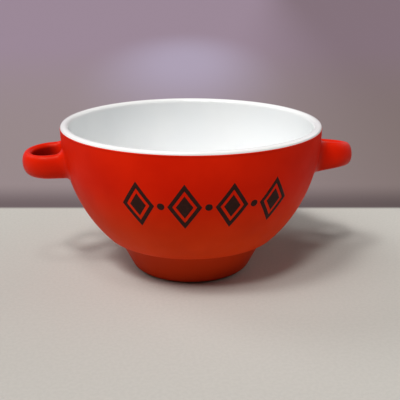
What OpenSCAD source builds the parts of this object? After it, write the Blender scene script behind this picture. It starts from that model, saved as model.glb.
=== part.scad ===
// Soup mug with two loop handles, in millimetres.
// It stands on z = 0 with its axis on Z. The handles lie along X and the print faces -Y.

/* [Bowl] */
// Outside diameter across the finished rim
rim_d = 136; // [126:1:148]
// Height of the rim above the table
mug_h = 79.5; // [74:0.5:88]
// Height above the table at which the belly's curve would close if it were carried on
belly_close_h = 0.8; // [0:0.1:3]
// How square the belly's curve is: 2 is an ellipse, and more is fuller
belly_power = 2.06; // [1.95:0.01:2.3]
// Height of the belly's lower edge above the table
belly_edge_h = 19.5; // [17:0.5:23]
// Thickness of the finished wall, which is also the width of the round lip
wall_t = 4.4; // [3.6:0.1:5.4]
// Thickness of the bowl's floor, glaze included
floor_t = 5.4; // [4.4:0.2:7]
// Radius of the corner between the floor and the wall, inside
floor_corner_r = 9; // [6:0.5:11]
// How many degrees above the lip's widest line the outside glaze meets the lining
glaze_line_a = 21; // [5:1:45]

/* [Foot] */
// Width of the flat ledge under the belly's lower edge
ledge_w = 1.5; // [0.8:0.1:3]
// Radius of the hollow curve between the ledge and the foot
cove_r = 5; // [3.5:0.25:6]
// How many degrees the foot's wall leans out
foot_lean = 26.5; // [15:0.5:32]
// Radius of the foot's round bottom edge
foot_edge_r = 4.5; // [3:0.25:6]
// Width of the flat ring that the mug rests on
foot_rest_w = 3.6; // [2.4:0.1:5]
// Height of the bare clay above the table, where the glaze was wiped away
dry_edge_h = 0.8; // [0.5:0.1:1.4]

/* [Handles] */
// How far a handle stands out past the rim
handle_reach = 20.2; // [18:0.2:23]
// Width of the handle's loop
loop_w = 29; // [27:0.5:31]
// Height of the handle's strap
strap_h = 12.4; // [10:0.2:14]
// Thickness of the handle's strap, seen from above
strap_t = 6.2; // [5.4:0.2:7]
// How far the finger hole is longer than it is wide
hole_stretch = 3; // [2:0.5:5]
// How far the middle of the left loop lies below the rim. Each handle was stuck on by hand,
// so their heights and angles differ a little.
left_handle_drop = 19.1; // [16:0.1:23]
// How far the middle of the right loop lies below the rim
right_handle_drop = 20.7; // [16:0.1:23]
// How many degrees the left handle leans to one side
left_handle_lean = 3.5; // [0:0.5:10]
// How many degrees the right handle leans to one side
right_handle_lean = 8.5; // [0:0.5:10]
// How many degrees the left handle droops
left_handle_droop = 2; // [0:0.5:4]
// How many degrees the right handle rises
right_handle_rise = 3.5; // [0:0.5:4]

/* [Glaze and joints] */
// Thickness of the glaze coats
glaze_t = 0.4; // [0.3:0.05:0.6]
// Thickness of the slip that joins the pieces of clay
slip_t = 0.5; // [0.4:0.05:0.8]

/* [Print] */
// Number of diamonds in the front print
diamonds = 4; // [2:1:5]
// Height of one diamond
diamond_h = 23.5; // [16:0.5:27]
// Width of one diamond
diamond_w = 16; // [12:0.5:18]
// Distance along the wall from one diamond's middle to the next
diamond_pitch = 22; // [20:0.5:25]
// Width of the bare line inside each diamond
diamond_line = 1.2; // [0.8:0.1:1.5]
// Width of the dark border outside the bare line
diamond_border = 2; // [1.2:0.1:2.4]
// Diameter of the dots between the diamonds
dot_d = 3.6; // [2.5:0.1:5]
// How far the middle of the print lies below the rim
print_drop = 26.5; // [24:0.5:32]
// Thickness of the print
print_t = 0.15; // [0.1:0.05:0.3]

/* [Hidden] */
$fn = 96;

// Bands that each long curve, each round edge and the strap's section are drawn with
curve_bands = 22;
edge_bands = 8;
strap_bands = 6;
// How strongly the belly's bands crowd towards its lower edge, where it curves most
band_crowding = 1.3;
// How square the strap's section is: 2 is an ellipse, and more is squarer
strap_power = 2.15;
// How far a cutting shape runs past what it cuts
overrun = 2;

clay_colour = "wheat";
slip_colour = "tan";
white_colour = "white";
red_colour = [0.77, 0.11, 0.06];
print_colour = [0.16, 0.12, 0.12];

rim_r = rim_d / 2;
lip_r = wall_t / 2;
lip_z = mug_h - lip_r;
belly_depth = lip_z - belly_close_h;
foot_h = belly_edge_h - cove_r;
floor_z = foot_h + floor_t;
cove_x = belly_r(belly_edge_h, 0) - ledge_w;
foot_hollow_r = foot_edge_x(glaze_t) - foot_rest_w - glaze_t;
left_handle_z = mug_h - left_handle_drop;
right_handle_z = mug_h - right_handle_drop;
loop_x = rim_r + handle_reach - loop_w / 2;
loop_mid_r = loop_w / 2 - strap_t / 2;
print_z = mug_h - print_drop;
print_step = diamond_pitch / belly_r(print_z, 0) * 180 / PI;

// Radius of the belly at height z, on the surface that lies inset under the finished one
function belly_r(z, inset) =
    let (down = max(0, lip_z - z) / (belly_depth - inset))
    (rim_r - inset) * pow(1 - pow(down, belly_power), 1 / belly_power);

// Points up the belly from height z0 to the lip, closer together where it curves most
function belly_points(z0, inset) = [
    for (i = [0 : curve_bands])
        let (z = z0 + (lip_z - z0) * pow(i / curve_bands, band_crowding))
        [belly_r(z, inset), z]
];

// Points from the top of the foot round the hollow curve, to which the foot's wall runs
// tangent, and out to the belly's edge
function cove_points(inset) = concat(
    [[foot_top_r(inset), foot_h]],
    [
        for (i = [0 : edge_bands])
            let (a = 180 - foot_lean - (90 - foot_lean) * i / edge_bands)
            [cove_x + (cove_r + inset) * cos(a), foot_h + (cove_r + inset) * sin(a)]
    ],
    belly_points(belly_edge_h + inset, inset)
);

// Points along the round lip, from angle a0 to angle a1 about its middle
function lip_points(inset, a0, a1) = [
    for (i = [0 : 2 * edge_bands])
        let (a = a0 + (a1 - a0) * i / (2 * edge_bands))
        [rim_r - lip_r + (lip_r - inset) * cos(a), lip_z + (lip_r - inset) * sin(a)]
];

// Inside radius at height z, on the surface that lies depth behind the finished lining:
// the belly's curve one wall further in, drawn in by an arc at the floor
function inside_r(z, depth) =
    let (corner_r = floor_corner_r + depth)
    let (rise = min(1, max(0, floor_z + floor_corner_r - z) / corner_r))
    belly_r(z, wall_t - depth) - corner_r * (1 - sqrt(1 - rise * rise));

// Points up the inside, from the middle of the floor to the lip
function inside_points(depth) =
    let (corner_z = floor_z + floor_corner_r)
    concat(
        [[0, floor_z - depth]],
        [
            for (i = [0 : edge_bands])
                let (z = corner_z - (floor_corner_r + depth) * cos(90 * i / edge_bands))
                [inside_r(z, depth), z]
        ],
        [
            for (i = [1 : curve_bands])
                let (z = corner_z + (lip_z - corner_z) * i / curve_bands)
                [inside_r(z, depth), z]
        ]
    );

// Radius of the foot's wall where it meets the bowl
function foot_top_r(inset) = cove_x - (cove_r + inset) / cos(foot_lean);

// Radius of the foot's resting face, up to where its round edge begins. The edge touches both
// the table and the wall.
function foot_edge_x(inset) =
    let (edge_r = foot_edge_r - inset)
    foot_top_r(inset) - (edge_r + (foot_h - edge_r) * sin(foot_lean)) / cos(foot_lean);

// Points up the outside of the foot, on the surface that lies inset under the finished one.
// Every such surface comes down to the table, so the glaze thins out towards it.
function foot_points(inset) = concat(
    [
        for (i = [0 : edge_bands])
            let (a = (90 - foot_lean) * i / edge_bands)
            let (edge_r = foot_edge_r - inset)
            [foot_edge_x(inset) + edge_r * sin(a), edge_r * (1 - cos(a))]
    ],
    [[foot_top_r(inset), foot_h]]
);

// One side of the strap's section, a rounded half oval at distance x that faces out (side 1)
// or in (side -1)
function strap_side(x, side, inset) = [
    for (i = [0 : 2 * strap_bands])
        let (a = -90 + 90 * i / strap_bands)
        let (out = pow(max(0, cos(a)), 2 / strap_power))
        let (up = sign(a) * pow(abs(sin(a)), 2 / strap_power))
        [x + side * (strap_t / 2 - inset) * out, (strap_h / 2 - inset) * up]
];

function reversed(list) = [for (i = [len(list) - 1 : -1 : 0]) list[i]];

// Everything inside the surface that lies inset under the finished outside of the bowl
module bowl_blank(inset) {
    rotate_extrude()
        polygon(concat([[0, foot_h]], cove_points(inset), [[0, lip_z]]));
}

// The space of the finger hole, as round-edged as the strap: two round ends and what lies
// between them
module finger_hole(inset) {
    half_h = strap_h / 2 - inset;
    edge = strap_side(loop_mid_r, -1, inset);
    for (x = [0, -hole_stretch])
        translate([x, 0, 0])
            rotate_extrude()
                polygon(concat(
                    [[0, -half_h - overrun], [loop_mid_r, -half_h - overrun]],
                    edge,
                    [[loop_mid_r, half_h + overrun], [0, half_h + overrun]]
                ));
    translate([-hole_stretch, 0, 0])
        rotate([90, 0, 90])
            linear_extrude(height = hole_stretch)
                polygon(concat(
                    [[-loop_mid_r, -half_h - overrun], [loop_mid_r, -half_h - overrun]],
                    edge,
                    [[loop_mid_r, half_h + overrun], [-loop_mid_r, half_h + overrun]],
                    [for (p = reversed(edge)) [-p[0], p[1]]]
                ));
}

// The outside shape of one handle, with the middle of its loop at the origin and its outer
// end along +X
module loop_form(inset) {
    half_h = strap_h / 2 - inset;
    difference() {
        union() {
            // Round outer end
            rotate_extrude(angle = 180, start = -90)
                polygon(concat([[0, -half_h]], strap_side(loop_mid_r, 1, inset), [[0, half_h]]));
            // Straight stretch from the round end into the wall
            translate([-loop_x, 0, 0])
                rotate([90, 0, 90])
                    linear_extrude(height = loop_x)
                        polygon(concat(
                            strap_side(loop_mid_r, 1, inset),
                            reversed(strap_side(-loop_mid_r, -1, inset))
                        ));
        }
        finger_hole(inset);
    }
}

// The outside shape of a handle in its place: at the right where side is 1, at the left
// where it is -1
module handle_form(side, inset) {
    rotate([0, 0, 90 - 90 * side])
        translate([loop_x, 0, side > 0 ? right_handle_z : left_handle_z])
            rotate([side > 0 ? -right_handle_lean : -left_handle_lean, 0, 0])
                rotate([0, side > 0 ? -right_handle_rise : left_handle_droop, 0])
                    loop_form(inset);
}

module handle_clay(side) {
    difference() {
        handle_form(side, glaze_t);
        bowl_blank(glaze_t - slip_t);
    }
}

module handle_slip(side) {
    intersection() {
        handle_form(side, glaze_t);
        difference() {
            bowl_blank(glaze_t - slip_t);
            bowl_blank(glaze_t);
        }
    }
}

module handle_coat(side) {
    difference() {
        handle_form(side, 0);
        handle_form(side, glaze_t);
        bowl_blank(0);
    }
}

module bowl_body() {
    color(clay_colour)
        rotate_extrude()
            polygon(concat(
                [[0, foot_h]],
                cove_points(glaze_t),
                lip_points(glaze_t, 0, 180),
                reversed(inside_points(glaze_t))
            ));
}

// Section of the foot, out to the surface that lies inset under the finished one
module foot_section(inset) {
    polygon(concat(
        [[foot_hollow_r + glaze_t, 0]],
        foot_points(inset),
        [[foot_hollow_r + glaze_t, foot_h]]
    ));
}

// Turns what lies between two heights of a section into a ring
module ring_between(low, high) {
    rotate_extrude()
        intersection() {
            children();
            translate([0, low])
                square([rim_r, high - low]);
        }
}

module foot_ring() {
    color(clay_colour)
        ring_between(0, foot_h - slip_t)
            foot_section(glaze_t);
}

module foot_slip() {
    color(slip_colour)
        ring_between(foot_h - slip_t, foot_h)
            foot_section(glaze_t);
}

module left_handle() {
    color(clay_colour)
        handle_clay(-1);
}

module right_handle() {
    color(clay_colour)
        handle_clay(1);
}

module left_handle_slip() {
    color(slip_colour)
        handle_slip(-1);
}

module right_handle_slip() {
    color(slip_colour)
        handle_slip(1);
}

module lining_glaze() {
    color(white_colour)
        rotate_extrude()
            polygon(concat(
                inside_points(0),
                lip_points(0, 180, glaze_line_a),
                lip_points(glaze_t, glaze_line_a, 180),
                reversed(inside_points(glaze_t))
            ));
}

module bowl_glaze() {
    color(red_colour)
        difference() {
            rotate_extrude()
                polygon(concat(
                    cove_points(0),
                    lip_points(0, 0, glaze_line_a),
                    lip_points(glaze_t, glaze_line_a, 0),
                    reversed(cove_points(glaze_t))
                ));
            for (side = [-1, 1])
                handle_form(side, glaze_t);
        }
}

module foot_glaze() {
    color(red_colour)
        ring_between(dry_edge_h, foot_h)
            difference() {
                foot_section(0);
                foot_section(glaze_t);
            }
}

module left_handle_glaze() {
    color(red_colour)
        handle_coat(-1);
}

module right_handle_glaze() {
    color(red_colour)
        handle_coat(1);
}

module base_glaze() {
    color(white_colour)
        difference() {
            translate([0, 0, foot_edge_r])
                cylinder(h = foot_h - foot_edge_r, r = foot_hollow_r + glaze_t);
            cylinder(h = foot_h - glaze_t, r = foot_hollow_r);
        }
}

module diamond(w, h) {
    polygon([[w / 2, 0], [0, h / 2], [-w / 2, 0], [0, -h / 2]]);
}

// A diamond with a bare line inside its dark border
module lined_diamond() {
    slant = sqrt(1 + pow(diamond_h / diamond_w, 2));
    border_w = 2 * diamond_border * slant * diamond_w / diamond_h;
    line_w = 2 * diamond_line * slant * diamond_w / diamond_h;
    tall = diamond_h / diamond_w;
    difference() {
        diamond(diamond_w, diamond_h);
        diamond(diamond_w - border_w, diamond_h - border_w * tall);
    }
    diamond(diamond_w - border_w - line_w, diamond_h - (border_w + line_w) * tall);
}

// Carries a flat shape straight out through the front wall, turned round the bowl by angle a
module through_wall(a) {
    rotate([90, 0, a])
        translate([0, print_z, 0])
            linear_extrude(height = rim_r + overrun)
                children();
}

// A row of diamonds with a dot in each space between two
module front_print() {
    color(print_colour)
        intersection() {
            difference() {
                bowl_blank(-print_t);
                bowl_blank(0);
            }
            union() {
                for (i = [0 : diamonds - 1])
                    through_wall((i - (diamonds - 1) / 2) * print_step)
                        lined_diamond();
                for (i = [0 : diamonds - 2])
                    through_wall((i - (diamonds - 2) / 2) * print_step)
                        circle(d = dot_d);
            }
        }
}

bowl_body();
foot_ring();
foot_slip();
left_handle();
right_handle();
left_handle_slip();
right_handle_slip();
lining_glaze();
bowl_glaze();
foot_glaze();
left_handle_glaze();
right_handle_glaze();
base_glaze();
front_print();
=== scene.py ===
import bpy
import math
import numpy as np
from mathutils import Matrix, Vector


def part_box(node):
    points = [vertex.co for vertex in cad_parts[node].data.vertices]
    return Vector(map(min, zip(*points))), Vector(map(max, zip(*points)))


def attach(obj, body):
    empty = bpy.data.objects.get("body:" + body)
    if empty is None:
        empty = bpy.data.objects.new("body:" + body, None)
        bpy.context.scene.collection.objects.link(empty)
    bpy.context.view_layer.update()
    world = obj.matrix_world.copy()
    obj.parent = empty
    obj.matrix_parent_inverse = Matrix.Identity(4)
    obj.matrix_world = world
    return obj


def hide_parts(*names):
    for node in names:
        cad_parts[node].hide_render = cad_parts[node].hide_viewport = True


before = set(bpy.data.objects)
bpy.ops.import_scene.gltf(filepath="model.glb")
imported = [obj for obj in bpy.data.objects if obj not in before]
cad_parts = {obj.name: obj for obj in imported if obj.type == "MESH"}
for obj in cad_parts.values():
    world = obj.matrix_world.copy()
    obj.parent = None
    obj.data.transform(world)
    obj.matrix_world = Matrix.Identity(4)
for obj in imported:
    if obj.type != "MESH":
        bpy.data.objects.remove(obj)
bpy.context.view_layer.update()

# Everything is worked out in millimetres and turned into metres as the mesh is made.
mm = 0.001

# Sizes that the mug's pieces share
mug = {
    "wall": 4.4,
    "coat": 0.4,
    "bellyCloseHeight": 0.8,  # where the belly's curve would close if it were carried on
    "bellyPower": 2.06,
    "bellyEdgeHeight": 19.5,
    "lipRadius": 2.2,
    "glazeLineAngle": 21,  # how far up the lip's outside the red meets the white
    "wobble": 0.07,
    "wobbleFade": 20.0,
    # each wave's number round the mug, share, phase, and slant in radians a millimetre
    "waves": [(2, 1.0, 0.6, 0.010), (3, 0.6, -1.1, -0.018), (5, 0.35, 2.3, 0.030)],
    "columns": 288,
}


# The frame gives the rest, so the coats sit where the clay is: heights and radii are read
# off the boxes of the pieces, and the lip's middle lies one lip radius in and down.
def addSizesFromFrame():
    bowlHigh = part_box("bowl_glaze")[1]
    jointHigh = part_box("foot_slip")[1]
    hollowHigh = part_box("base_glaze")[1]
    liningLow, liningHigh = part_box("lining_glaze")
    mug["rimRadius"] = round(bowlHigh.y / mm, 1)
    mug["height"] = round(liningHigh.z / mm, 1)
    mug["jointHeight"] = round(jointHigh.z / mm, 1)
    mug["floorHeight"] = round(liningLow.z / mm + mug["coat"], 1)
    mug["hollowRadius"] = hollowHigh.x / mm
    mug["lipHeight"] = mug["height"] - mug["lipRadius"]
    mug["lipMiddle"] = mug["rimRadius"] - mug["lipRadius"]
    mug["bellyDepth"] = mug["lipHeight"] - mug["bellyCloseHeight"]


addSizesFromFrame()
print("rim radius", mug["rimRadius"], "height", mug["height"], "joint", mug["jointHeight"])


# Depth of the thrown unevenness at angle a and height z: a sum of slow waves round the mug,
# each with its own slant up the wall.
def unevenness(a, z):
    total = sum(share * np.sin(n * a + phase + slant * z) for n, share, phase, slant in mug["waves"])
    return mug["wobble"] * total / sum(share for n, share, phase, slant in mug["waves"])


# Radius of the belly at height z, drawn in by inset: a super ellipse from the lip down, so
# radius ^ power and depth ^ power add up to one as shares of the whole.
def bellyRadius(z, inset=0.0):
    down = np.maximum(0, mug["lipHeight"] - z) / (mug["bellyDepth"] - inset)
    rest = np.maximum(0, 1 - down ** mug["bellyPower"])
    return (mug["rimRadius"] - inset) * rest ** (1 / mug["bellyPower"])


# Grid of points to a closed mesh. The grid's rows run along the profile or path and its
# columns round it; each quad joins a point, its neighbours and the one across. A single
# pole point closes an end whose row has shrunk to nothing.
def surfacePiece(name, grid, wrapRows=False, startPole=False, endPole=False, creaseAngle=40):
    rows, cols = grid.shape[:2]
    points = grid.reshape(-1, 3)
    number = np.arange(rows * cols).reshape(rows, cols)
    below = number if wrapRows else number[:-1]
    above = np.roll(number, -1, axis=0) if wrapRows else number[1:]
    first = 1 if startPole else 0
    last = len(below) - (1 if endPole else 0)
    below, above = below[first:last], above[first:last]
    quads = np.stack([below, np.roll(below, -1, 1), np.roll(above, -1, 1), above], -1)
    faces = [quads.reshape(-1, 4)]
    if startPole:
        ring = number[1]
        faces.append(np.stack([np.full(cols, number[0, 0]), np.roll(ring, -1), ring], -1))
    if endPole:
        ring = number[-2]
        faces.append(np.stack([ring, np.roll(ring, -1), np.full(cols, number[-1, 0])], -1))
    return meshPiece(name, points, faces, creaseAngle)


# Six times the space that closed faces hold: each triangle and the origin make a pyramid,
# which counts as negative where the face looks inwards.
def signedSpace(points, faces):
    total = 0.0
    for f in faces:
        for k in range(1, f.shape[1] - 1):
            a, b, c = points[f[:, 0]], points[f[:, k]], points[f[:, k + 1]]
            total += np.einsum("ij,ij->", a, np.cross(b, c))
    return total


# Points and face arrays to an object: faces are turned outwards, corners are listed face by
# face, unused points are dropped, and edges sharper than the given angle keep their crease.
def meshPiece(name, points, faces, creaseAngle):
    if signedSpace(points, faces) < 0:
        faces = [f[:, ::-1] for f in faces]
    corners = np.concatenate([f.reshape(-1) for f in faces])
    counts = np.concatenate([np.full(len(f), f.shape[1]) for f in faces])
    used, corners = np.unique(corners, return_inverse=True)
    points = points[used] * mm
    mesh = bpy.data.meshes.new(name)
    mesh.vertices.add(len(points))
    mesh.vertices.foreach_set("co", points.astype(np.float32).ravel())
    mesh.loops.add(len(corners))
    mesh.loops.foreach_set("vertex_index", corners.astype(np.int32).ravel())
    mesh.polygons.add(len(counts))
    mesh.polygons.foreach_set("loop_start", (np.cumsum(counts) - counts).astype(np.int32))
    mesh.update(calc_edges=True)
    mesh.validate()
    mesh.shade_smooth()
    mesh.set_sharp_from_angle(angle=math.radians(creaseAngle))
    piece = bpy.data.objects.new(name, mesh)
    bpy.context.scene.collection.objects.link(piece)
    return piece


# Carries a profile of (radius, height) points round the mug: x = r cos a, y = r sin a. The
# radius is made slightly uneven, from nothing at evenRadius to all of it further out.
def turned(profile, columns=mug["columns"], evenRadius=0.0):
    a = np.linspace(0, 2 * math.pi, columns, endpoint=False)[None, :]
    r, z = profile[:, 0][:, None], profile[:, 1][:, None]
    fade = np.clip((r - evenRadius) / mug["wobbleFade"], 0, 1)
    r = r + unevenness(a, z) * fade
    return np.stack([r * np.cos(a), r * np.sin(a), z + 0 * a], -1)


# Points on a circle arc of radius r about (x, y) from angle a0 to a1 in degrees.
def arc(x, y, r, a0, a1, count):
    a = np.radians(np.linspace(a0, a1, count))
    return np.stack([x + r * np.cos(a), y + r * np.sin(a)], -1)


# The same about the middle of the lip's round.
def lipArc(r, a0, a1, count):
    return arc(mug["lipMiddle"], mug["lipHeight"], r, a0, a1, count)


# Curve from point a to point b that bends towards corner c: the square law blend of three.
def corner(a, c, b, count):
    t = np.linspace(0, 1, count)[:, None]
    a, b, c = (np.asarray(p, float) for p in (a, b, c))
    return (1 - t) ** 2 * a + 2 * t * (1 - t) * c + t ** 2 * b


# Gives a piece its material, hangs it from the root, and hides the frame's nodes that it stands for.
def dress(piece, nodeNames, material):
    piece.data.materials.append(material)
    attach(piece, "root")
    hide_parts(*nodeNames)
    print("made", piece.name, len(piece.data.polygons), "faces")
    return piece


# Materials. Blender's Mix node gives its colour sockets no names of their own, so they go
# by number: the first colour, the second and the mixed one.
firstColour, secondColour, mixedColour = 6, 7, 2


# The nodes of one material, which all read Object coordinates
class Graph:
    # Starts with the coordinates
    def __init__(self, tree):
        self.tree = tree
        self.coords = self.new("TexCoord").outputs["Object"]

    # A node of the given kind
    def new(self, kind):
        return self.tree.nodes.new("ShaderNode" + kind)

    # Joins one node's output to another's input
    def link(self, source, target):
        self.tree.links.new(source, target)

    # Noise with its grain in millimetres
    def noise(self, grain, detail):
        node = self.new("TexNoise")
        node.inputs["Scale"].default_value = 1 / (grain * mm)
        node.inputs["Detail"].default_value = detail
        self.link(self.coords, node.inputs["Vector"])
        return node.outputs["Fac"]

    # Patches: noise that steps smoothly from newLow to newHigh over a band of its values
    def patches(self, noise, newLow=0, newHigh=1, band=(0.3, 0.7)):
        return self.span(self.noise(*noise), *band, newLow, newHigh)

    # A value that the piece itself carries
    def attribute(self, name):
        node = self.new("Attribute")
        node.attribute_name = name
        return node.outputs["Fac"]

    # One coordinate of a point, in metres
    def along(self, axis, source=None):
        node = self.new("SeparateXYZ")
        self.link(source or self.coords, node.inputs["Vector"])
        return node.outputs[axis]

    # The coordinates turned about the upright axis
    def turned(self, angle):
        node = self.new("Mapping")
        node.inputs["Rotation"].default_value = (0, 0, angle)
        self.link(self.coords, node.inputs["Vector"])
        return node.outputs["Vector"]

    # An oval spot on the floor: one in its middle, less with distance, nothing at its edge
    def spot(self, centre, size, angle):
        oval = self.new("Mapping")
        oval.vector_type = "TEXTURE"
        oval.inputs["Location"].default_value = (*(c * mm for c in centre), 0)
        oval.inputs["Scale"].default_value = (*(c * mm for c in size), 1)
        self.link(self.turned(angle), oval.inputs["Vector"])
        fall = self.new("TexGradient")
        fall.gradient_type = "SPHERICAL"
        self.link(oval.outputs["Vector"], fall.inputs["Vector"])
        return fall.outputs["Fac"]

    # Smooth step of a value, from newLow at low to newHigh at high
    def span(self, source, low, high, newLow=0, newHigh=1):
        node = self.new("MapRange")
        node.interpolation_type = "SMOOTHSTEP"
        self.link(source, node.inputs["Value"])
        ends = {"From Min": low, "From Max": high, "To Min": newLow, "To Max": newHigh}
        for socket, value in ends.items():
            node.inputs[socket].default_value = value
        return node.outputs["Result"]

    # The same between two places in millimetres
    def between(self, source, places, newLow=0, newHigh=1):
        return self.span(source, places[0] * mm, places[1] * mm, newLow, newHigh)

    # Two colours mixed by a factor, each a tuple or another node's output
    def mix(self, factor, first, second, blend="MIX"):
        node = self.new("Mix")
        node.data_type = "RGBA"
        node.blend_type = blend
        self.link(factor, node.inputs["Factor"])
        for number, value in ((firstColour, first), (secondColour, second)):
            if isinstance(value, tuple):
                node.inputs[number].default_value = (*value, 1)
            else:
                self.link(value, node.inputs[number])
        return node.outputs[mixedColour]

    # Bump of a given depth in millimetres, on top of another one if there is one
    def bump(self, height, depth, under=None):
        node = self.new("Bump")
        node.inputs["Distance"].default_value = depth * mm
        self.link(height, node.inputs["Height"])
        if under is not None:
            self.link(under, node.inputs["Normal"])
        return node.outputs["Normal"]


# A new material with its graph and its shader
def newMaterial(name):
    material = bpy.data.materials.new(name)
    material.use_nodes = True
    tree = material.node_tree
    return material, Graph(tree), tree.nodes["Principled BSDF"]


# Red glaze. In every finish a noise is its grain in millimetres and its detail, and a depth
# or a height is in millimetres too.
redFinish = {
    "bowl": {
        "deep": (0.695, 0.0125, 0.0013),
        "bright": (0.780, 0.0170, 0.0020),
        "rough": (0.46, 0.54),
        "specular": 0.04,
    },
    # the handles' tones are darker than the bowl's: painted shade on the handles
    "handle": {
        "deep": (0.64, 0.0105, 0.0010),
        "bright": (0.71, 0.0145, 0.0016),
        "rough": (0.33, 0.40),
        "specular": 0.11,
    },
    # painted warm reflection of the table on the lower parts, which fades out with height
    "tableReflectionDeep": (0.72, 0.043, 0.0034),
    "tableReflectionBright": (0.80, 0.052, 0.0046),
    "tableReflectionToHigh": (22, 62),
    # painted shade on the foot under the belly's overhang, darker and browner
    "foot": (0.57, 0.037, 0.0060),
    "footToBowl": (16, 20),
    # painted shade inside the finger hole
    "paintedHoleShade": (0.21, 0.0032, 0.0008),
    "sheenTint": (1.0, 0.66, 0.45),
    "ior": 1.5,
    "patchNoise": (26, 3),
    "roughNoise": (9, 3),
    "rippleNoise": (5, 1),
    "rippleDepth": 0.03,
    "fineNoise": (0.7, 2),
    "fineDepth": 0.008,
}


# Patches mix deep with bright. A painted warm reflection of the table on the lower parts gives way
# to the place's own tones with height, and over both comes painted shade: dark inside the finger
# hole, or darker and browner on the foot under the belly's overhang.
def redGlazeMaterial(name, place):
    f = redFinish
    own = f[place]
    material, g, shader = newMaterial(name)
    patch = g.patches(f["patchNoise"])
    # painted reflection of the table on the lower parts
    low = g.mix(patch, f["tableReflectionDeep"], f["tableReflectionBright"])
    high = g.mix(patch, own["deep"], own["bright"])
    colour = g.mix(g.between(g.along("Z"), f["tableReflectionToHigh"]), low, high)
    if place == "handle":
        # painted shade inside the finger hole
        colour = g.mix(g.attribute("paintedHoleShade"), colour, f["paintedHoleShade"])
    else:
        # painted shade on the foot under the belly's overhang
        onFoot = g.between(g.along("Z"), f["footToBowl"], 1, 0)
        colour = g.mix(onFoot, colour, f["foot"])
    g.link(colour, shader.inputs["Base Color"])
    g.link(g.patches(f["roughNoise"], *own["rough"]), shader.inputs["Roughness"])
    ripple = g.bump(g.noise(*f["rippleNoise"]), f["rippleDepth"])
    g.link(g.bump(g.noise(*f["fineNoise"]), f["fineDepth"], ripple), shader.inputs["Normal"])
    shader.inputs["IOR"].default_value = f["ior"]
    shader.inputs["Specular IOR Level"].default_value = own["specular"]
    shader.inputs["Specular Tint"].default_value = (*f["sheenTint"], 1)
    return material


# White glaze
whiteFinish = {
    "pale": (0.868, 0.885, 0.892),
    "cool": (0.850, 0.872, 0.884),
    # the lip's paler tone is painted light on the lip
    "lip": (0.905, 0.915, 0.918),
    "insideToLip": (76.3, 78.6),
    "rough": (0.10, 0.18),
    "ior": 1.52,
    "patchNoise": (22, 3),
    "roughNoise": (12, 2),
    "rippleNoise": (9, 1),
    "rippleDepth": 0.05,
}


# Patches mix cool with pale, and a paler tone takes over with height on the lip: painted light.
def whiteGlazeMaterial():
    f = whiteFinish
    material, g, shader = newMaterial("glossy_white_glaze")
    inside = g.mix(g.patches(f["patchNoise"]), f["cool"], f["pale"])
    paintedLipLight = g.between(g.along("Z"), f["insideToLip"])
    g.link(g.mix(paintedLipLight, inside, f["lip"]), shader.inputs["Base Color"])
    g.link(g.patches(f["roughNoise"], *f["rough"]), shader.inputs["Roughness"])
    g.link(g.bump(g.noise(*f["rippleNoise"]), f["rippleDepth"]), shader.inputs["Normal"])
    shader.inputs["IOR"].default_value = f["ior"]
    return material


# Unglazed clay, and the slip as a darker shade of it
clayFinish = {
    "pale": (0.72, 0.64, 0.52),
    "warm": (0.62, 0.52, 0.40),
    "speck": (0.30, 0.21, 0.14),
    "speckBand": (0.66, 0.72),
    "speckShare": 0.8,
    "rough": (0.78, 0.92),
    "slipShade": 0.9,
    "patchNoise": (14, 4),
    "speckNoise": (0.9, 1),
    "roughNoise": (3, 2),
    "fineNoise": (0.6, 3),
    "fineDepth": 0.06,
}


# Patches mix warm with pale, both times the shade, and dark specks lie over them.
def stonewareMaterial(name, shade=1.0):
    f = clayFinish
    material, g, shader = newMaterial(name)
    pale, warm = (tuple(c * shade for c in f[k]) for k in ("pale", "warm"))
    body = g.mix(g.patches(f["patchNoise"]), warm, pale)
    specks = g.patches(f["speckNoise"], 0, f["speckShare"], f["speckBand"])
    g.link(g.mix(specks, body, f["speck"]), shader.inputs["Base Color"])
    g.link(g.patches(f["roughNoise"], *f["rough"]), shader.inputs["Roughness"])
    g.link(g.bump(g.noise(*f["fineNoise"]), f["fineDepth"]), shader.inputs["Normal"])
    return material


# Charcoal ink
inkFinish = {
    "dark": (0.030, 0.0080, 0.0052),
    "worn": (0.041, 0.0120, 0.0080),
    "wornBand": (0.45, 0.75),
    "rough": (0.46, 0.58),
    "specular": 0.10,
    "wornNoise": (2.2, 4),
    "roughNoise": (4, 2),
    "fineNoise": (0.5, 2),
    "fineDepth": 0.01,
}


# Dark all over and a little paler where patches of it have worn
def inkMaterial():
    f = inkFinish
    material, g, shader = newMaterial("fired_charcoal_print")
    worn = g.patches(f["wornNoise"], band=f["wornBand"])
    g.link(g.mix(worn, f["dark"], f["worn"]), shader.inputs["Base Color"])
    g.link(g.patches(f["roughNoise"], *f["rough"]), shader.inputs["Roughness"])
    g.link(g.bump(g.noise(*f["fineNoise"]), f["fineDepth"]), shader.inputs["Normal"])
    shader.inputs["Specular IOR Level"].default_value = f["specular"]
    return material


redGlaze = redGlazeMaterial("satin_red_glaze", "bowl")
handleGlaze = redGlazeMaterial("satin_red_glaze_painted_hole_shade", "handle")
whiteGlaze = whiteGlazeMaterial()
bareClay = stonewareMaterial("bare_speckled_stoneware")
slipClay = stonewareMaterial("fired_slip", clayFinish["slipShade"])
charcoalPrint = inkMaterial()
print("materials ready")

# The clay and the slip that the frame brings keep their shapes and get their finish here.
clayNodes = {
    "bowl_body": bareClay,
    "foot_ring": bareClay,
    "left_handle": bareClay,
    "right_handle": bareClay,
    "foot_slip": slipClay,
    "left_handle_slip": slipClay,
    "right_handle_slip": slipClay,
}
for nodeName, clay in clayNodes.items():
    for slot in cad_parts[nodeName].material_slots:
        slot.material = clay

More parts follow.
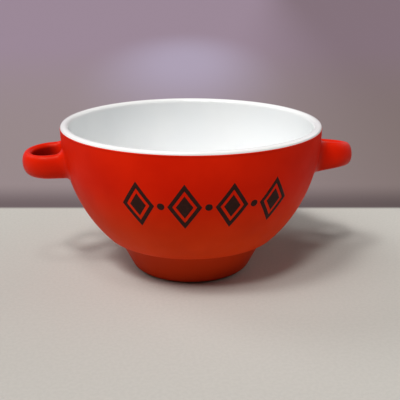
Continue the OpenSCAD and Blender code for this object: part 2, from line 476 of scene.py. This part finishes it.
# Red coat of the bowl. Places at the lip are in degrees: a start is counted up from its
# widest point, and what is short is short of the glaze line.
bowlCoat = {
    "coveRadius": 5.0,
    "ledge": 1.5,
    "footLean": 26.5,
    "edgeRound": 1.1,
    "edgeRiseShare": 0.7,  # of edgeRound, how far up the belly its rounding ends
    "rowPower": 1.2,  # above one, the belly's rows lie closer near its lower edge
    "coveRows": 14,
    "edgeRows": 9,
    "bellyRows": 90,
    "innerStep": 3,  # the coat's back has every third row
    "rimProud": 0.06,  # how far the coat stands out over the white
    "rimStart": 3,
    "rimShort": 4,
    "rimRows": 5,
    "turnShort": 1.5,
    "turnShare": 0.7,  # of rimProud, where the coat turns in to its end
    "endSunk": 0.12,
    "backShort": 2,
    "backRows": 3,
}


# Points from the joint up the hollow curve, out along the ledge, round the belly's edge and
# up to the lip, on the surface that lies inset under the finished one.
def bowlOutside(inset):
    c = bowlCoat
    lean = math.radians(c["footLean"])
    coveX = bellyRadius(mug["bellyEdgeHeight"]) - c["ledge"]
    coveR = c["coveRadius"] + inset
    edgeZ = mug["bellyEdgeHeight"] + inset
    startX = coveX - coveR / math.cos(lean)
    cove = arc(coveX, mug["jointHeight"], coveR, 180 - c["footLean"], 90, c["coveRows"])
    edge = (bellyRadius(edgeZ, inset), edgeZ)
    upZ = edgeZ + c["edgeRiseShare"] * c["edgeRound"]
    up = (bellyRadius(upZ, inset), upZ)
    rounded = corner((edge[0] - c["edgeRound"], edgeZ), edge, up, c["edgeRows"])
    t = np.linspace(0, 1, c["bellyRows"])[1:]
    z = upZ + (mug["lipHeight"] - upZ) * t ** c["rowPower"]
    belly = np.stack([bellyRadius(z, inset), z], -1)
    return np.concatenate([[[startX, mug["jointHeight"]]], cove, rounded, belly])


# The outside, a short way round the lip to the glaze line, and back on the clay
def makeBowlCoat():
    c = bowlCoat
    lip, line = mug["lipRadius"], mug["glazeLineAngle"]
    turnAngle = line - c["turnShort"]
    outer = bowlOutside(0)
    rim = lipArc(lip + c["rimProud"], c["rimStart"], line - c["rimShort"], c["rimRows"])
    turn = lipArc(lip + c["rimProud"] * c["turnShare"], turnAngle, turnAngle, 1)
    end = lipArc(lip - c["endSunk"], line, line, 1)
    back = lipArc(lip - mug["coat"], line - c["backShort"], 0, c["backRows"])
    under = bowlOutside(mug["coat"])
    inner = under[::-1][::c["innerStep"]]
    profile = np.concatenate([outer, rim, turn, end, back, inner[1:], under[:1]])
    return surfacePiece("bowl_red_coat", turned(profile), wrapRows=True)


dress(makeBowlCoat(), ["bowl_glaze"], redGlaze)

# White coat of the inside and the lip. The lip takes over from the inside wall at its start,
# and a lap is how far past the glaze line the white runs on, both in degrees.
lining = {
    "cornerRadius": 9.0,
    "cornerRows": 16,
    "floorRows": 14,
    "wallRows": 60,
    "flatShare": 0.09,
    "lipStart": 175,
    "lipLap": 6,
    "lipRows": 32,
    "backLap": 8,
    "backRows": 8,
    "innerStep": 2,  # the back of the inside has every second row
}


# Points from the middle of the floor out, round the corner arc and up the wall, at a depth
# behind the finished surface.
def insideProfile(depth):
    c = lining
    cornerZ = mug["floorHeight"] + c["cornerRadius"]
    cornerR = c["cornerRadius"] + depth
    b = np.linspace(0, math.pi / 2, c["cornerRows"])
    cornerHeights = cornerZ - cornerR * np.cos(b)
    t = np.linspace(0, 1, c["wallRows"])[1:]
    z = np.concatenate([cornerHeights, cornerZ + (mug["lipHeight"] - cornerZ) * t])
    rise = np.clip((cornerZ - z) / cornerR, 0, 1)
    r = bellyRadius(z, mug["wall"] - depth) - cornerR * (1 - np.sqrt(1 - rise ** 2))
    floorR = np.linspace(0, r[0], c["floorRows"])[:-1]
    floor = np.stack([floorR, np.full_like(floorR, z[0])], -1)
    return np.concatenate([floor, np.stack([r, z], -1)])


# Points over the lip from angle a0 to a1 in degrees: a half circle that the glaze makes
# flatter on its outer shoulder, where it is larger by a share of sin^4 of twice the angle.
def overLip(a0, a1, count):
    a = np.radians(np.linspace(a0, a1, count))
    shoulder = np.where(a < math.pi / 2, np.sin(2 * a) ** 4, 0)
    r = mug["lipRadius"] * (1 + lining["flatShare"] * shoulder)
    return np.stack([mug["lipMiddle"] + r * np.cos(a), mug["lipHeight"] + r * np.sin(a)], -1)


# The inside from the floor up, over the lip, and back down on the clay
def makeLining():
    c = lining
    line = mug["glazeLineAngle"]
    outer = insideProfile(0)
    lip = overLip(c["lipStart"], line - c["lipLap"], c["lipRows"])
    back = lipArc(mug["lipRadius"] - mug["coat"], line - c["backLap"], 180, c["backRows"])
    inner = insideProfile(mug["coat"])[::-1]
    profile = np.concatenate([outer, lip, back, inner[1::c["innerStep"]][:-1], inner[-1:]])
    return surfacePiece("white_lining", turned(profile), startPole=True, endPole=True)


dress(makeLining(), ["lining_glaze"], whiteGlaze)

# Red coat of the foot
footCoat = {
    "edgeRadius": 4.5,
    "dryEdge": 0.8,
    "edgeRows": 12,
    "wallRows": 8,
}


# Points from the dry edge up the round edge and the leaning wall to the joint.
def footOutside(inset):
    c = footCoat
    lean = math.radians(bowlCoat["footLean"])
    coveX = bellyRadius(mug["bellyEdgeHeight"]) - bowlCoat["ledge"]
    topX = coveX - (bowlCoat["coveRadius"] + inset) / math.cos(lean)
    edgeR = c["edgeRadius"] - inset
    joint = mug["jointHeight"]
    edgeX = topX - (edgeR + (joint - edgeR) * math.sin(lean)) / math.cos(lean)
    start = math.acos(1 - c["dryEdge"] / edgeR)
    a = np.linspace(start, math.pi / 2 - lean, c["edgeRows"])
    edge = np.stack([edgeX + edgeR * np.sin(a), edgeR * (1 - np.cos(a))], -1)
    t = np.linspace(0, 1, c["wallRows"])[1:, None]
    wall = edge[-1] + (np.array([topX, joint]) - edge[-1]) * t
    return np.concatenate([edge, wall])


# The outside, and back down on the clay
def makeFootCoat():
    profile = np.concatenate([footOutside(0), footOutside(mug["coat"])[::-1]])
    return surfacePiece("foot_red_coat", turned(profile), wrapRows=True)


dress(makeFootCoat(), ["foot_glaze"], redGlaze)

# White coat of the underside, inside the foot
baseCoat = {
    "cornerRound": 1.5,
    "thinHeight": 0.3,  # how far above its lower end the coat starts to thin
    "thinBy": 0.1,
    "backShare": 0.6,
    "ceilingRows": 10,
    "cornerRows": 7,
    "wallRows": 7,
    "columns": 144,
    "evenRadius": 30,
}


# Out along the hollow's ceiling, round its corner, down its wall, and back on the clay
def makeBaseCoat():
    c = baseCoat
    turnR = c["cornerRound"]
    outR, topZ = mug["hollowRadius"], mug["jointHeight"]
    inR, underZ = outR - mug["coat"], topZ - mug["coat"]
    lowZ = footCoat["edgeRadius"]
    ceilingX = np.linspace(0, inR - turnR, c["ceilingRows"])
    ceiling = np.stack([ceilingX, np.full_like(ceilingX, underZ)], -1)
    bend = arc(inR - turnR, underZ - turnR, turnR, 90, 0, c["cornerRows"])[1:]
    wallZ = np.linspace(underZ - turnR, lowZ + c["thinHeight"], c["wallRows"])[1:]
    wall = np.stack([np.full_like(wallZ, inR), wallZ], -1)
    end = np.array([[inR + c["thinBy"], lowZ], [outR, lowZ]])
    back = np.array([[outR, topZ], [outR * c["backShare"], topZ], [0, topZ]])
    profile = np.concatenate([ceiling, bend, wall, end, back])
    grid = turned(profile, c["columns"], c["evenRadius"])
    return surfacePiece("base_white_coat", grid, startPole=True, endPole=True)


dress(makeBaseCoat(), ["base_glaze"], whiteGlaze)

# Red coats of the handles
handle = {
    "loopX": 73.7,
    "midRadius": 11.4,
    "halfThick": 3.1,
    "power": 2.02,
    "bellyIn": 1.3,  # how far the belly has drawn in at the handles' height
    "sink": 0.35,  # how far a root runs on past the belly's surface
    "growthShare": 1.3,  # of the way to the wall, after which the strap grows no taller
    "farthest": 40.0,  # no line along an arm is longer than this before it meets the bowl
    "halvings": 40,
    "creaseAngle": 60,
    "columns": 72,
    "armRows": 10,
    "bendRows": 48,
    "filletRows": 12,
    # droop is in degrees, and a handle that rises has less than none
    "left": {
        "side": -1,
        "below": 19.1,
        "lean": 3.5,
        "droop": 2.0,
        "tipTall": 5.92,
        "topTall": 6.5,
        "topPower": 1.5,
        "underTall": 6.5,
        "underPower": 1.5,
        "innerFillet": 6.2,
        "outerFillet": 3.8,
        "topFillet": (3.0, 4.5),
        "underFillet": (0.8, 1.3),
    },
    "right": {
        "side": 1,
        "below": 20.7,
        "lean": 8.5,
        "droop": -3.5,
        "tipTall": 5.9,
        "topTall": 8.4,
        "topPower": 0.8,
        "underTall": 7.3,
        "underPower": 1.5,
        "innerFillet": 6.2,
        "outerFillet": 5.1,
        "topFillet": (3.0, 4.5),
        "underFillet": (1.0, 2.0),
    },
}


# Turns local handle points into the mug's frame: droop about y, lean about x, out to the
# loop's middle, and half round the mug for the left one.
def placeHandle(p, own):
    droop, lean = math.radians(own["droop"]), math.radians(-own["lean"])
    x, y, z = p[..., 0], p[..., 1], p[..., 2]
    x, z = x * math.cos(droop) + z * math.sin(droop), -x * math.sin(droop) + z * math.cos(droop)
    y, z = y * math.cos(lean) - z * math.sin(lean), y * math.sin(lean) + z * math.cos(lean)
    x = x + handle["loopX"]
    z = z + mug["height"] - own["below"]
    return np.stack([own["side"] * x, own["side"] * y, z], -1)


# Distance of a placed point outside the bowl's finished surface.
def outsideBowl(p):
    r = np.hypot(p[..., 0], p[..., 1])
    a = np.arctan2(p[..., 1], p[..., 0])
    return r - bellyRadius(p[..., 2]) - unevenness(a, p[..., 2])


# How far each line from x = 0 along -x runs before it meets the bowl, by halving the gap.
def reachWall(y, z, own):
    near, far = np.zeros_like(y), np.full_like(y, handle["farthest"])
    for _ in range(handle["halvings"]):
        middle = (near + far) / 2
        outside = outsideBowl(placeHandle(np.stack([-middle, y, z], -1), own)) > 0
        near, far = np.where(outside, middle, near), np.where(outside, far, middle)
    return (near + far) / 2


# The strap's section at angle b: a super ellipse as thick as the strap and one high, with
# its own outward direction worked out at the strap's mean height.
def strapSection(inset, own):
    c = handle
    meanTall = (own["tipTall"] + own["underTall"]) / 2
    b = np.linspace(0, 2 * math.pi, c["columns"], endpoint=False)
    e = 2 / c["power"]
    u = (c["halfThick"] - inset) * np.sign(np.cos(b)) * np.abs(np.cos(b)) ** e
    v = np.sign(np.sin(b)) * np.abs(np.sin(b)) ** e
    nu = np.sign(np.cos(b)) * np.abs(np.cos(b)) ** (2 - e) / c["halfThick"]
    nv = np.sign(np.sin(b)) * np.abs(np.sin(b)) ** (2 - e) / meanTall
    length = np.hypot(nu, nv)
    return u, v, nu / length, nv / length


# Rows of the fillet at a root: out by rise (1 - cos b) and short of the wall by
# run (1 - sin b), so it leaves the arm tangent and meets the wall flat. The first row is
# sunk into the wall. The sizes blend round the section with the squares of its direction.
def filletRows(own, nu, nv):
    sideways = np.where(nu < 0, own["innerFillet"], own["outerFillet"]) * nu ** 2
    rise, run = (
        sideways + np.where(nv < 0, under, over) * nv ** 2
        for under, over in zip(own["underFillet"], own["topFillet"])
    )
    b = np.linspace(math.pi / 2, 0, handle["filletRows"])[:, None]
    off = rise * (1 - np.cos(b))
    gap = run * (1 - np.sin(b))
    return np.concatenate([off[:1], off]), np.concatenate([gap[:1] - handle["sink"], gap])


# One tube of the handle: from one root, along its arm, round the bend and back along the
# other arm, as rows of section points. The strap's half height grows from the tip to the
# wall with a power of the share of the way, by itself above and below.
def handleTube(inset, own, fillets):
    c = handle
    u, v, nu, nv = strapSection(inset, own)
    endTall = np.where(v > 0, own["topTall"], own["underTall"])
    power = np.where(v > 0, own["topPower"], own["underPower"])
    wallX = mug["rimRadius"] - c["loopX"] - c["bellyIn"]

    # The strap's half height at a place along the arm
    def tall(x):
        t = np.clip((c["midRadius"] - x) / (c["midRadius"] - wallX), 0, c["growthShare"])
        return own["tipTall"] - inset + (endTall - own["tipTall"]) * t ** power

    # One arm from its root to the bend, at y = sign * midRadius, with u pointing away from
    # the loop's middle. Its fillet's rows come first, or else one row sunk into the wall.
    def armRows(sign):
        if fillets:
            off, gap = filletRows(own, nu, nv)
        else:
            off, gap = np.zeros((1, len(u))), np.full((1, len(u)), -c["sink"])
        y = sign * (c["midRadius"] + u + nu * off)
        z = v * (endTall - inset) + nv * off
        rootX = gap - reachWall(y, z, own)
        z = z + v * (tall(rootX) - endTall + inset)
        root = np.stack([rootX, y, z], -1)
        t = np.linspace(0, 1, c["armRows"] + 1)[1:-1, None]
        armX = rootX[-1] * (1 - t)
        arm = np.stack([armX, y[-1] + 0 * armX, v * tall(armX)], -1)
        return np.concatenate([root, arm])

    a = np.linspace(-math.pi / 2, math.pi / 2, c["bendRows"])[:, None]
    r = c["midRadius"] + u
    bendTall = tall(c["midRadius"] * np.cos(a))
    bend = np.stack([r * np.cos(a), r * np.sin(a), v * bendTall], -1)
    return np.concatenate([armRows(-1), bend, armRows(1)[::-1]])


# Painted shade inside the finger hole comes in between two shares of the strap's thickness and of
# its half height, and between two places along the arms, in millimetres from the loop's middle.
holeShading = {
    "inwardShares": (0.25, 0.80),
    "downShares": (0.97, 0.62),
    "alongArms": (-5.0, 1.0),
}


# How far a value has come from none at the first of two ends to one at the second.
def cameIn(value, ends):
    return np.clip((value - ends[0]) / (ends[1] - ends[0]), 0, 1)


# How much painted shade lies inside the finger hole: most on the strap's inner side below its top
# edge, by a smooth step s^2 (3 - 2 s) of the inward and downward lean of the surface.
def holeShadeShare(u, v):
    inward = cameIn(-u / handle["halfThick"], holeShading["inwardShares"])
    s = inward * cameIn(v, holeShading["downShares"])
    return s ** 2 * (3 - 2 * s)


# The outer tube with its fillets and, inside it, the clay's own without them. The outer tube carries
# the painted shade of the finger hole.
def makeHandleCoat(name, own):
    outer = handleTube(0, own, True)
    inner = handleTube(mug["coat"], own, False)[::-1]
    grid = placeHandle(np.concatenate([outer, inner]), own)
    coat = surfacePiece(name, grid, wrapRows=True, creaseAngle=handle["creaseAngle"])
    u, v = strapSection(0, own)[:2]
    shadeInHole = np.zeros(grid.shape[:2])
    shadeInHole[:len(outer)] = cameIn(outer[..., 0], holeShading["alongArms"]) * holeShadeShare(u, v)
    values = coat.data.attributes.new("paintedHoleShade", "FLOAT", "POINT")
    values.data.foreach_set("value", shadeInHole.astype(np.float32).ravel())
    return coat


for hand in ("left", "right"):
    coat = makeHandleCoat(hand + "_handle_red_coat", handle[hand])
    dress(coat, [hand + "_handle_glaze"], handleGlaze)

# Dark print on the front: diamonds, each a border round a core, with a dot between two
printBand = {
    "diamonds": 4,
    "tall": 23.5,
    "wide": 16.0,
    "pitch": 22.0,
    "border": 2.0,
    "bareLine": 1.2,
    "dot": 3.6,
    "dotPoints": 36,
    "pointStep": 0.8,
    "below": 26.5,
    "proud": 0.12,
    "sunk": 0.05,
    "underside": 0.05,
    # shares of the way in from the outline at which the ink's rows lie
    "rowShares": [0, 0.05, 0.15, 0.25, 0.375, 0.5, 0.625, 0.75, 0.85, 0.95, 1],
    "borderPower": 8,
    "corePower": 12,
}
printMiddle = mug["height"] - printBand["below"]


# Flat point (s, t) on the front to the belly: turned to its place on the band, x = s and
# y = -sqrt(r(z)^2 - s^2), pushed out by the ink's height.
def onBelly(s, t, turn, proud):
    z = printMiddle + t
    r = bellyRadius(z)
    y = -np.sqrt(r ** 2 - s ** 2)
    a = np.arctan2(y, s) + turn
    r = r + unevenness(a, z) + proud
    return np.stack([r * np.cos(a), r * np.sin(a), z], -1)


# Ink between an outline and its own shape drawn smaller by a share: rows run inwards over
# the top, low at the edges and flat between them, and back underneath. At a share t of the
# way in the top has risen by 1 - |2 t - 1| ^ borderPower. A share of zero fills the outline
# up to its middle, and there the top rises by 1 - (1 - t) ^ corePower.
def inkShape(outline, share, turn):
    c = printBand
    t = np.array(c["rowShares"])
    size = (1 - t * (1 - share))[:, None]
    if share > 0:
        rise = 1 - np.abs(2 * t - 1) ** c["borderPower"]
        underSize = size[[-1, 0]]
    else:
        rise = 1 - (1 - t) ** c["corePower"]
        underSize = size[[0, 4, -1]]
    proud = (c["proud"] + c["sunk"]) * rise[:, None] - c["sunk"]
    top = onBelly(outline[:, 0] * size, outline[:, 1] * size, turn, proud)
    depth = -c["sunk"] - c["underside"]
    under = onBelly(outline[:, 0] * underSize, outline[:, 1] * underSize, turn, depth)
    if share > 0:
        return surfacePiece("ink", np.concatenate([top, under]), wrapRows=True)
    return surfacePiece("ink", np.concatenate([top[::-1], under]), startPole=True, endPole=True)


# Points along the sides of a closed shape: each side from p to q is p + (q - p) t, with
# its points no more than a step apart.
def alongSides(points, pointStep):
    sides = []
    for p, q in zip(points, np.roll(points, -1, axis=0)):
        count = max(2, int(np.ceil(np.hypot(*(q - p)) / pointStep)))
        t = np.linspace(0, 1, count, endpoint=False)[:, None]
        sides.append(p + (q - p) * t)
    return np.concatenate(sides)


# Makes several objects one.
def joinPieces(pieces, name):
    bpy.ops.object.select_all(action="DESELECT")
    for piece in pieces:
        piece.select_set(True)
    bpy.context.view_layer.objects.active = pieces[0]
    bpy.ops.object.join()
    pieces[0].name = name
    pieces[0].data.name = name
    return pieces[0]


# Each diamond and each dot turned to its place on the band, one pitch apart, and all joined.
# A border's width is measured across its sides, which slant by the diamond's proportions.
def makePrint():
    c = printBand
    pitchAngle = c["pitch"] / bellyRadius(printMiddle)
    halfWide, halfTall = c["wide"] / 2, c["tall"] / 2
    diamond = np.array([[halfWide, 0], [0, halfTall], [-halfWide, 0], [0, -halfTall]])
    slant = math.hypot(1, c["tall"] / c["wide"])
    outline = alongSides(diamond, c["pointStep"])
    borderShare = 1 - 2 * c["border"] * slant / c["tall"]
    coreShare = borderShare - 2 * c["bareLine"] * slant / c["tall"]
    pieces = []
    for i in range(c["diamonds"]):
        turn = (i - (c["diamonds"] - 1) / 2) * pitchAngle
        pieces.append(inkShape(outline, borderShare, turn))
        pieces.append(inkShape(outline * coreShare, 0, turn))
    ring = arc(0, 0, c["dot"] / 2, 0, 360, c["dotPoints"] + 1)[:-1]
    for i in range(c["diamonds"] - 1):
        turn = (i - (c["diamonds"] - 2) / 2) * pitchAngle
        pieces.append(inkShape(ring, 0, turn))
    return joinPieces(pieces, "front_diamond_print")


dress(makePrint(), ["front_print"], charcoalPrint)

# Camera at the photograph's angle
view = {
    "distance": 364.2,
    "height": 155.4,
    "turn": 7.2,
    "pitch": 18.28,
    "lens": 63.25,
    "sensor": 36,
    "shiftX": 0.0225,
    "shiftY": 0.00125,
    "nearest": 10,
}
camera = bpy.data.objects.new("camera", bpy.data.cameras.new("camera"))
bpy.context.scene.collection.objects.link(camera)
viewTurn = math.radians(view["turn"])
camera.location = (
    -view["distance"] * math.sin(viewTurn) * mm,
    -view["distance"] * math.cos(viewTurn) * mm,
    view["height"] * mm,
)
camera.rotation_euler = (math.radians(90 - view["pitch"]), 0, -viewTurn)
camera.data.lens = view["lens"]
camera.data.sensor_width = view["sensor"]
camera.data.shift_x = view["shiftX"]
camera.data.shift_y = view["shiftY"]
camera.data.clip_start = view["nearest"] * mm
bpy.context.scene.camera = camera
bpy.context.scene.view_settings.view_transform = "Standard"

# Plain pale floor that turns to lilac behind the mug. Its places are in millimetres,
# counted from the mug along the camera's direction or across it.
stage = {
    "floorSize": 24000,
    "warm": (0.505, 0.492, 0.463),
    "warmGrain": (0.484, 0.472, 0.444),
    "tableToBack": (87, 93),
    # painted shade along the foot of the backdrop
    "lineShadeTone": (0.142, 0.112, 0.120),
    "lineToBack": (94, 150),
    "backTone": (0.276, 0.225, 0.234),
    "backToFar": (200, 1200),
    "farTone": (0.290, 0.222, 0.284),
    # a painted pool of light on the backdrop
    "litPatchTone": (0.385, 0.335, 0.450),
    "litPatchMiddle": (-12, 860),
    "litPatchSize": (180, 660),
    "litPatchFull": 0.9,
    "litPatchShare": 0.85,
    # painted shade on the right hand side
    "rightShade": (0.70, 0.68, 0.64),
    "shadeTurn": 6.0,
    "leftToRight": (-60, 210),
    "rough": 0.26,
    "specular": 0.0,
    "patchNoise": (1.6, 3),
    "patchBand": (0.35, 0.65),
    "fineNoise": (0.8, 2),
    "fineDepth": 0.02,
}


# The table's tone and, behind the mug, three more one after the other, the first of them painted
# shade along the foot of the backdrop; in them lies a painted pool of light, and painted shade
# darkens the right hand side
def floorMaterial():
    f = stage
    material, g, shader = newMaterial("pale_floor")
    back = g.along("Y", g.turned(viewTurn))
    side = g.along("X", g.turned(viewTurn + math.radians(f["shadeTurn"])))
    near = g.mix(g.between(back, f["lineToBack"]), f["lineShadeTone"], f["backTone"])
    far = g.mix(g.between(back, f["backToFar"]), near, f["farTone"])
    # painted pool of light
    pale = g.spot(f["litPatchMiddle"], f["litPatchSize"], viewTurn)
    far = g.mix(g.span(pale, 0, f["litPatchFull"], 0, f["litPatchShare"]), far, f["litPatchTone"])
    sided = g.mix(g.between(side, f["leftToRight"]), far, f["rightShade"], "MULTIPLY")
    table = g.mix(g.patches(f["patchNoise"], band=f["patchBand"]), f["warmGrain"], f["warm"])
    whole = g.mix(g.between(back, f["tableToBack"]), table, sided)
    g.link(whole, shader.inputs["Base Color"])
    g.link(g.bump(g.noise(*f["fineNoise"]), f["fineDepth"]), shader.inputs["Normal"])
    shader.inputs["Roughness"].default_value = f["rough"]
    shader.inputs["Specular IOR Level"].default_value = f["specular"]
    return material


bpy.ops.mesh.primitive_plane_add(size=stage["floorSize"] * mm, location=(0, 0, 0))
floor = bpy.context.object
floor.name = "floor"
floor.data.materials.append(floorMaterial())

# Soft lamps: where each shines from, how wide it looks in degrees, its strength and tint
lampTints = {"warm": (1.0, 0.985, 0.96), "warmer": (1.0, 0.97, 0.93), "cool": (0.98, 0.985, 1.0)}
lamps = [
    {"name": "frontKey", "from": (-0.24, -0.50, 0.83), "wide": 9, "strength": 0.95, "tint": "warm"},
    {"name": "sideKey", "from": (-0.40, -0.30, 0.87), "wide": 11, "strength": 0.95, "tint": "warm"},
    {"name": "sideSoft", "from": (-0.47, -0.28, 0.84), "wide": 30, "strength": 0.85, "tint": "warm"},
    {"name": "front", "from": (-0.04, -0.35, 0.93), "wide": 11, "strength": 0.38, "tint": "warm"},
    {"name": "right", "from": (0.80, -0.05, 0.60), "wide": 45, "strength": 0.36, "tint": "warmer"},
    {"name": "rightBack", "from": (0.72, 0.52, 0.46), "wide": 36, "strength": 0.3, "tint": "warmer"},
    {"name": "back", "from": (-0.64, 0.36, 0.68), "wide": 24, "strength": 0.68, "tint": "cool"},
]
for lamp in lamps:
    data = bpy.data.lights.new(lamp["name"], "SUN")
    data.energy = lamp["strength"]
    data.angle = math.radians(lamp["wide"])
    data.color = lampTints[lamp["tint"]]
    lampObject = bpy.data.objects.new(lamp["name"], data)
    bpy.context.scene.collection.objects.link(lampObject)
    x, y, z = lamp["from"]
    tilt = math.atan2(math.hypot(x, y), z)
    heading = math.atan2(y, x) + math.pi / 2
    lampObject.rotation_euler = (tilt, 0, heading)

# The room gives little light, and shows the tone of the far floor.
room = {
    "light": (1.0, 0.97, 0.93),
    "strength": 0.03,
    "shown": (0.33, 0.25, 0.31),
}


# The light comes from everywhere, and the shown tone replaces it for the camera's own rays
# and for those that glossy or clear surfaces send on.
def makeRoom():
    world = bpy.data.worlds.new("soft_room")
    bpy.context.scene.world = world
    world.use_nodes = True
    nodes, links = world.node_tree.nodes, world.node_tree.links
    light = nodes["Background"]
    light.inputs["Color"].default_value = (*room["light"], 1)
    light.inputs["Strength"].default_value = room["strength"]
    shown = nodes.new("ShaderNodeBackground")
    shown.inputs["Color"].default_value = (*room["shown"], 1)
    rays = nodes.new("ShaderNodeLightPath")
    seen = rays.outputs["Is Camera Ray"]
    for kind in ("Is Glossy Ray", "Is Transmission Ray"):
        more = nodes.new("ShaderNodeMath")
        more.operation = "MAXIMUM"
        links.new(seen, more.inputs[0])
        links.new(rays.outputs[kind], more.inputs[1])
        seen = more.outputs["Value"]
    either = nodes.new("ShaderNodeMixShader")
    links.new(seen, either.inputs["Fac"])
    links.new(light.outputs["Background"], either.inputs[1])
    links.new(shown.outputs["Background"], either.inputs[2])
    links.new(either.outputs["Shader"], nodes["World Output"].inputs["Surface"])


makeRoom()
print("stage ready")
